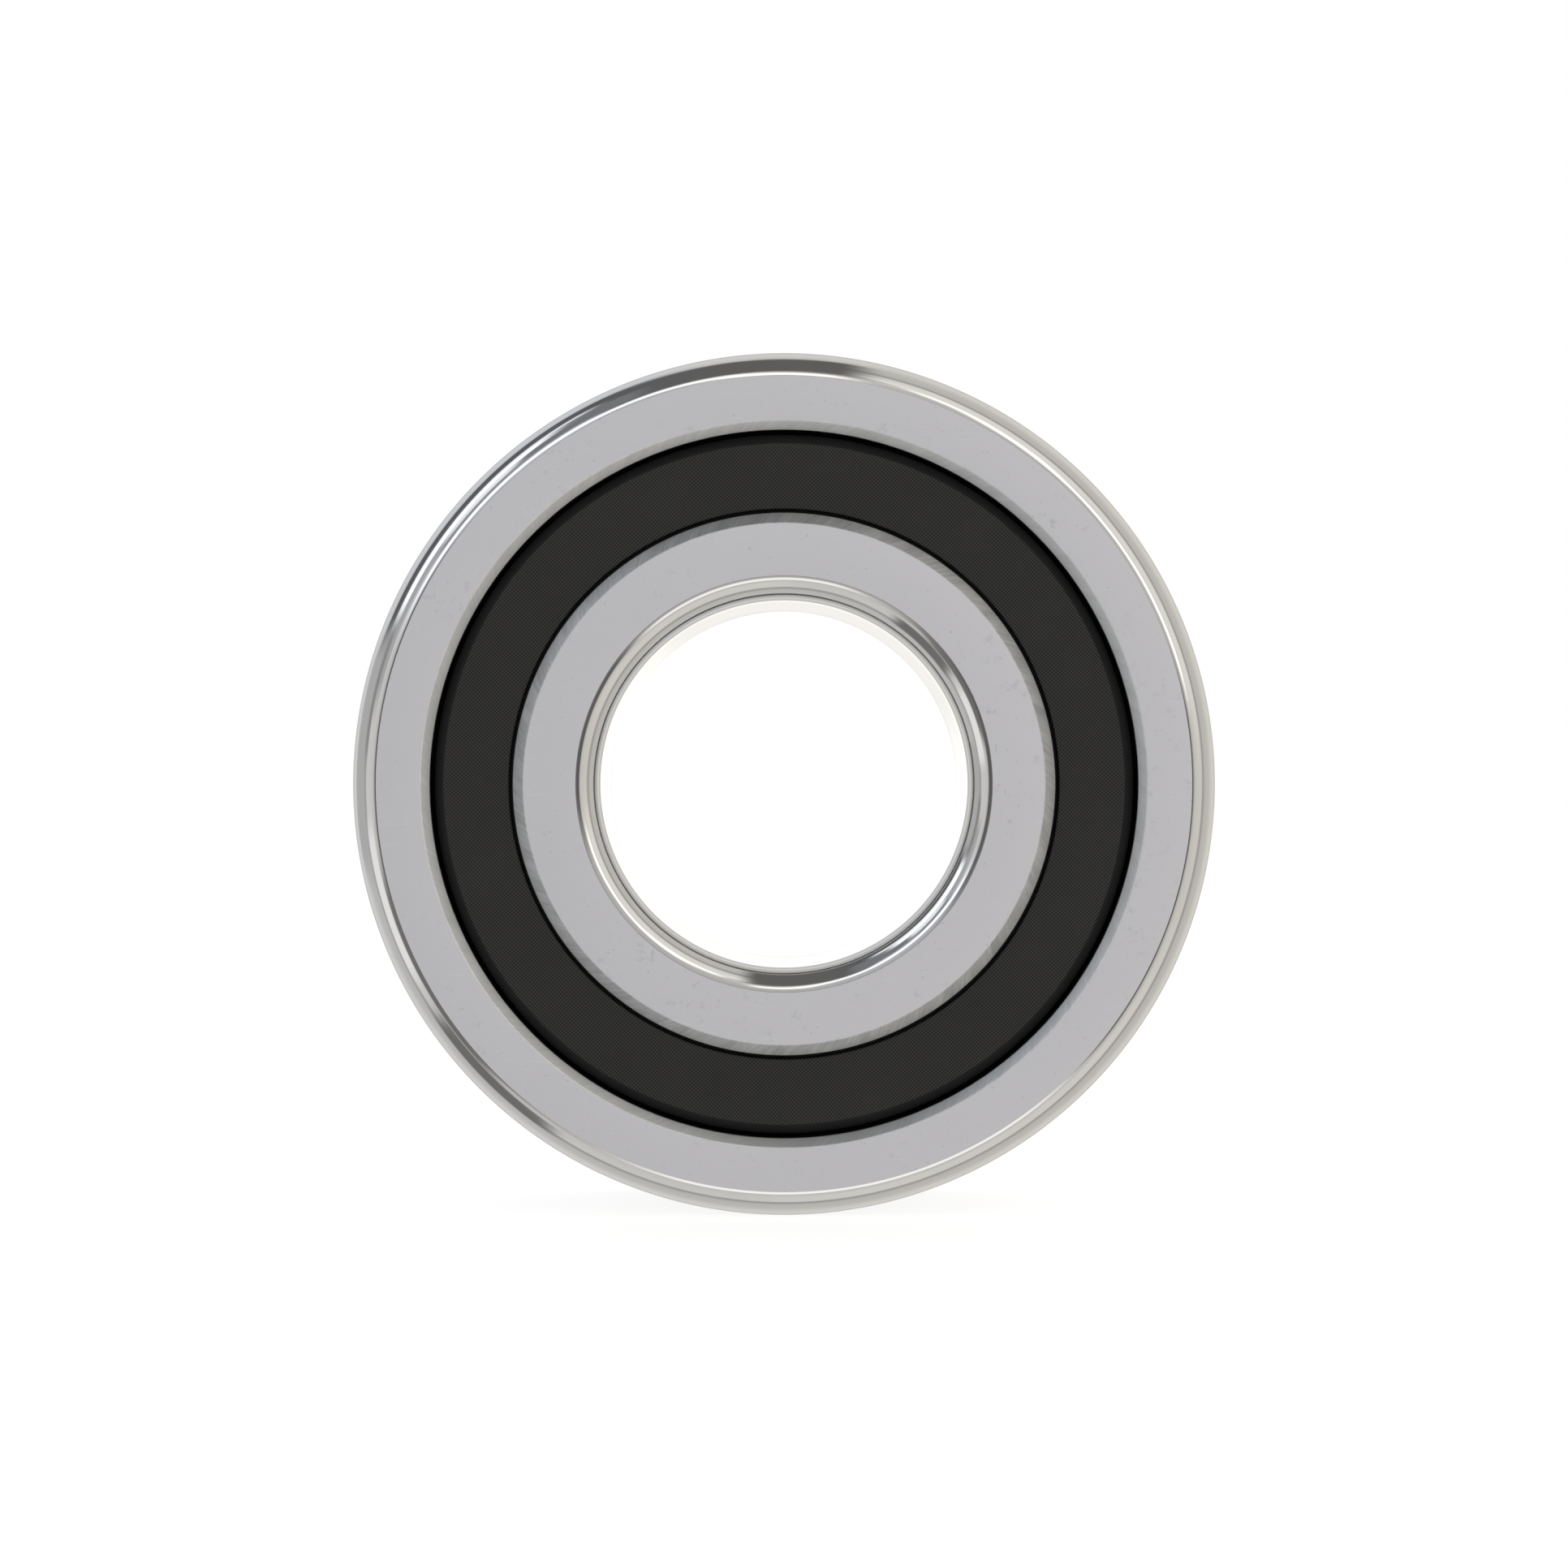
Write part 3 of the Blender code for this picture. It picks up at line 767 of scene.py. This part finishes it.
PANELS = (
    Panel(13, 5, 281, 32, 1.25),  # strip under the camera
    Panel(40, 13, 303, 34, 0.80),
    Panel(25, 5, 38, 24, 1.7),  # window frame, up to the right
    Panel(31, 6, 60, 12, 1.6),
    Panel(37, 5, 75, 6, 1.1),
    Panel(44, 11, 42, 34, 0.92),
    Panel(22, 5, 124, 30, 1.55),  # strip over the camera
    Panel(17, 4, 90, 9, 1.5),
    Panel(59, 33, 98, 19, 0.15, 0.35),  # dark ceiling
    Panel(48, 16, 120, 10, 0.24),
    Panel(44, 10, 155, 14, 0.50),
    Panel(62, 9, 140, 16, 1.6),  # lamp beside it
    Panel(72, 4, 126, 8, 1.1),
    Panel(47, 3, 137, 7, 1.30),
    Panel(34, 3, 138, 8, 0.22),
    Panel(88, 13, 140, 32, 0.14),
    Panel(68, 18, 167, 9, 0.32),
    Panel(88, 24, 176, 16, 0.54),
    Panel(43, 14, 197, 11, 1.02),
    Panel(5, 10, 188, 42, 0.13),  # dark round the camera, to the left
    Panel(17, 9, 209, 16, 0.20),
    Panel(48, 20, 225, 11, 0.20),
    Panel(5, 10, 346, 29, 0.13),  # and to the right
    Panel(177, 3, 255, 60, 0.95),  # grey far behind, seen along the bore
)

# (angle from -Y in degrees, brightness) of the surroundings between the panels
SURROUNDINGS = (
    (0, 0.50),
    (8, 0.58),
    (16, 0.60),
    (24, 0.72),
    (50, 0.76),
    (56, 0.44),
    (61, 0.44),
    (67, 0.62),
    (90, 0.66),
    (104, 0.76),
    (126, 0.84),
    (140, 0.72),
    (150, 0.64),
    (164, 0.62),
    (169, 1.14),
)
WARM = (1.030, 0.995, 0.925)
COOL = (0.970, 0.985, 1.030)
COOL_TURN = 132  # cool light comes from the upper left


def angle_apart(tree, angle, centre):
    """How many radians two directions round the axis are apart, from 0 to pi."""
    return calc(tree, "ARCCOSINE", calc(tree, "COSINE", calc(tree, "SUBTRACT", angle, centre)))


def inside(tree, apart, half, soft):
    """1 within the half width, 0 outside it, with a soft edge."""
    return between(tree, apart, half * (1 + soft / 2), half * (1 - soft / 2), smooth=True)


def studio_light(tree):
    """The brightness of the surroundings in every direction."""
    direction = put(tree, "ShaderNodeTexCoord", {}).outputs["Generated"]
    x, y, z = split(tree, direction)
    polar = calc(tree, "ARCCOSINE", calc(tree, "MULTIPLY", y, -1.0))
    turn = calc(tree, "ARCTAN2", z, x)
    ramp = put(tree, "ShaderNodeValToRGB", {"Fac": calc(tree, "DIVIDE", polar, math.pi)})
    stops = ramp.color_ramp.elements
    placed = [stops[0], stops[1]] + [stops.new(1) for _ in SURROUNDINGS[2:]]
    for stop, (angle, tone) in zip(placed, SURROUNDINGS):
        stop.position = angle / 180
        stop.color = (tone, tone, tone, 1)
    light = put(tree, "ShaderNodeRGBToBW", {0: ramp.outputs[0]}).outputs[0]
    for panel in PANELS:
        polar_apart = calc(tree, "ABSOLUTE", calc(tree, "SUBTRACT", polar, math.radians(panel.polar)))
        turn_apart = angle_apart(tree, turn, math.radians(panel.turn))
        cover = calc(
            tree,
            "MULTIPLY",
            inside(tree, polar_apart, math.radians(panel.polar_half), panel.soft),
            inside(tree, turn_apart, math.radians(panel.turn_half), panel.soft),
        )
        sockets = {0: cover, 2: light, 3: panel.tone}
        light = put(tree, "ShaderNodeMix", sockets, data_type="FLOAT").outputs[0]
    upper_left = inside(tree, angle_apart(tree, turn, math.radians(COOL_TURN)), math.radians(28), 1)
    warmth = calc(tree, "MULTIPLY", between(tree, x, -2, 0.5), calc(tree, "SUBTRACT", 1, upper_left))
    tint = shade(tree, warmth, COOL, WARM)
    return put(tree, "ShaderNodeVectorMath", {0: tint, "Scale": light}, operation="SCALE").outputs[0]


def make_surroundings():
    """Soft studio light all round. The camera itself sees plain white."""
    world = bpy.data.worlds.new("studio")
    world.use_nodes = True
    tree = world.node_tree
    tree.nodes.clear()
    seen = put(tree, "ShaderNodeBackground", {"Color": (1, 1, 1, 1), "Strength": 1.0})
    lit = put(tree, "ShaderNodeBackground", {"Color": studio_light(tree), "Strength": 1.0})
    is_camera = put(tree, "ShaderNodeLightPath", {}).outputs["Is Camera Ray"]
    mixed = put(tree, "ShaderNodeMixShader", {0: is_camera, 1: lit.outputs[0], 2: seen.outputs[0]})
    put(tree, "ShaderNodeOutputWorld", {"Surface": mixed.outputs[0]})
    bpy.context.scene.world = world


def make_floor():
    """A plain pale floor under the rim. It doesn't show in the steel, where the surroundings do."""
    half_side = 3.0
    bm = bmesh.new()
    bmesh.ops.create_grid(bm, x_segments=8, y_segments=8, size=half_side)
    mesh = bpy.data.meshes.new("floor")
    bm.to_mesh(mesh)
    bm.free()
    made, tree, shader = new_material("floor", 0.0, Specular_IOR_Level=0.0, Emission_Strength=0.80)
    shader.inputs["Base Color"].default_value = (0.45, 0.45, 0.45, 1)
    shader.inputs["Emission Color"].default_value = (1, 1, 1, 1)
    shader.inputs["Roughness"].default_value = 1.0
    mesh.materials.append(made)
    floor = bpy.data.objects.new("floor", mesh)
    floor.location = (0, 0, -OUTSIDE)
    floor.visible_glossy = False
    bpy.context.scene.collection.objects.link(floor)


def make_camera():
    """Straight in front of the bearing, so far off that the outside fills its share of the picture.

    The outline is where a sight line touches the outer corner radius.
    """
    lens, sensor = 0.050, 0.024
    share_of_picture = 0.5497
    slope = share_of_picture * sensor / 2 / lens
    corner = OUTSIDE - OUTSIDE_CORNER_RADIUS
    touch = OUTSIDE_CORNER_RADIUS * math.hypot(1, slope)
    distance = (corner + touch) / slope + HALF_WIDTH - OUTSIDE_CORNER_RADIUS
    data = bpy.data.cameras.new("camera")
    data.lens, data.sensor_width = 1000 * lens, 1000 * sensor
    data.clip_start, data.clip_end = 0.01, 100
    camera = bpy.data.objects.new("camera", data)
    camera.location = (0, -distance, 0)
    camera.rotation_euler = (math.pi / 2, 0, 0)
    bpy.context.scene.collection.objects.link(camera)
    bpy.context.scene.camera = camera


def build_bearing():
    stand_in("outer_ring", spun("outer_ring", outer_ring_section()))
    stand_in("inner_ring", spun("inner_ring", inner_ring_section()))
    for where, side in (("front", -1), ("rear", 1)):
        rubber, insert, half = f"seal_rubber_{where}", f"seal_insert_{where}", f"cage_half_{where}"
        stand_in(rubber, spun(rubber, on_side(seal_rubber_section(), side)))
        stand_in(insert, spun(insert, on_side(seal_insert_section(), side)))
        punch_rivet_holes(stand_in(half, cage_half_mesh(half, side)))
    ball, rivet = ball_mesh(), rivet_mesh()
    for index in range(BALL_COUNT):
        stand_in(f"ball_{index + 1}", ball, around_pitch_circle(index))
        stand_in(f"cage_rivet_{index + 1}", rivet, around_pitch_circle(index, 0.5))


build_bearing()
make_surroundings()
make_floor()
make_camera()
bpy.context.scene.view_settings.view_transform = "Standard"
